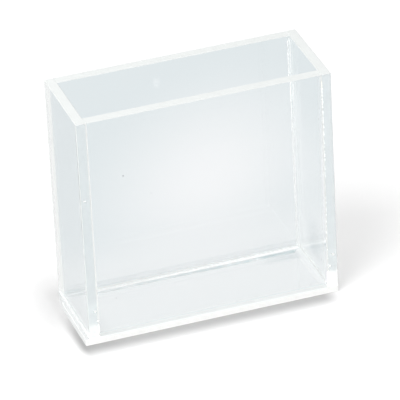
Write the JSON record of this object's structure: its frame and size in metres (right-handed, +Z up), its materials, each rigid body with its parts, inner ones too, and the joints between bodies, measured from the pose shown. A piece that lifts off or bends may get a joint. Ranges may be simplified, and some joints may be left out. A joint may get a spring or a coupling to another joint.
{
  "type": "cuvette",
  "caption": "Open-topped rectangular glass cell: upright plates cemented on a flat base plate, for holding a liquid in a beam of light.",
  "frame": {"origin": "middle of the base plate's underside", "axes": "+X along the wide front and back plates, +Y from the front plate to the back plate, +Z up through the open mouth"},
  "size_m": [0.0814, 0.0308, 0.0758],
  "materials": {
    "plate_glass": "polished faces, ground edges",
    "clear_cement": "clear cured cement with small bubbles"
  },
  "bodies": {
    "root": {"base_plate": "plate_glass", "left_side_plate": "plate_glass", "right_side_plate": "plate_glass", "front_plate": "plate_glass", "back_plate": "plate_glass", "front_left_seam": "clear_cement", "front_right_seam": "clear_cement", "back_left_seam": "clear_cement", "back_right_seam": "clear_cement", "floor_seam": "clear_cement"}
  },
  "joints": []
}
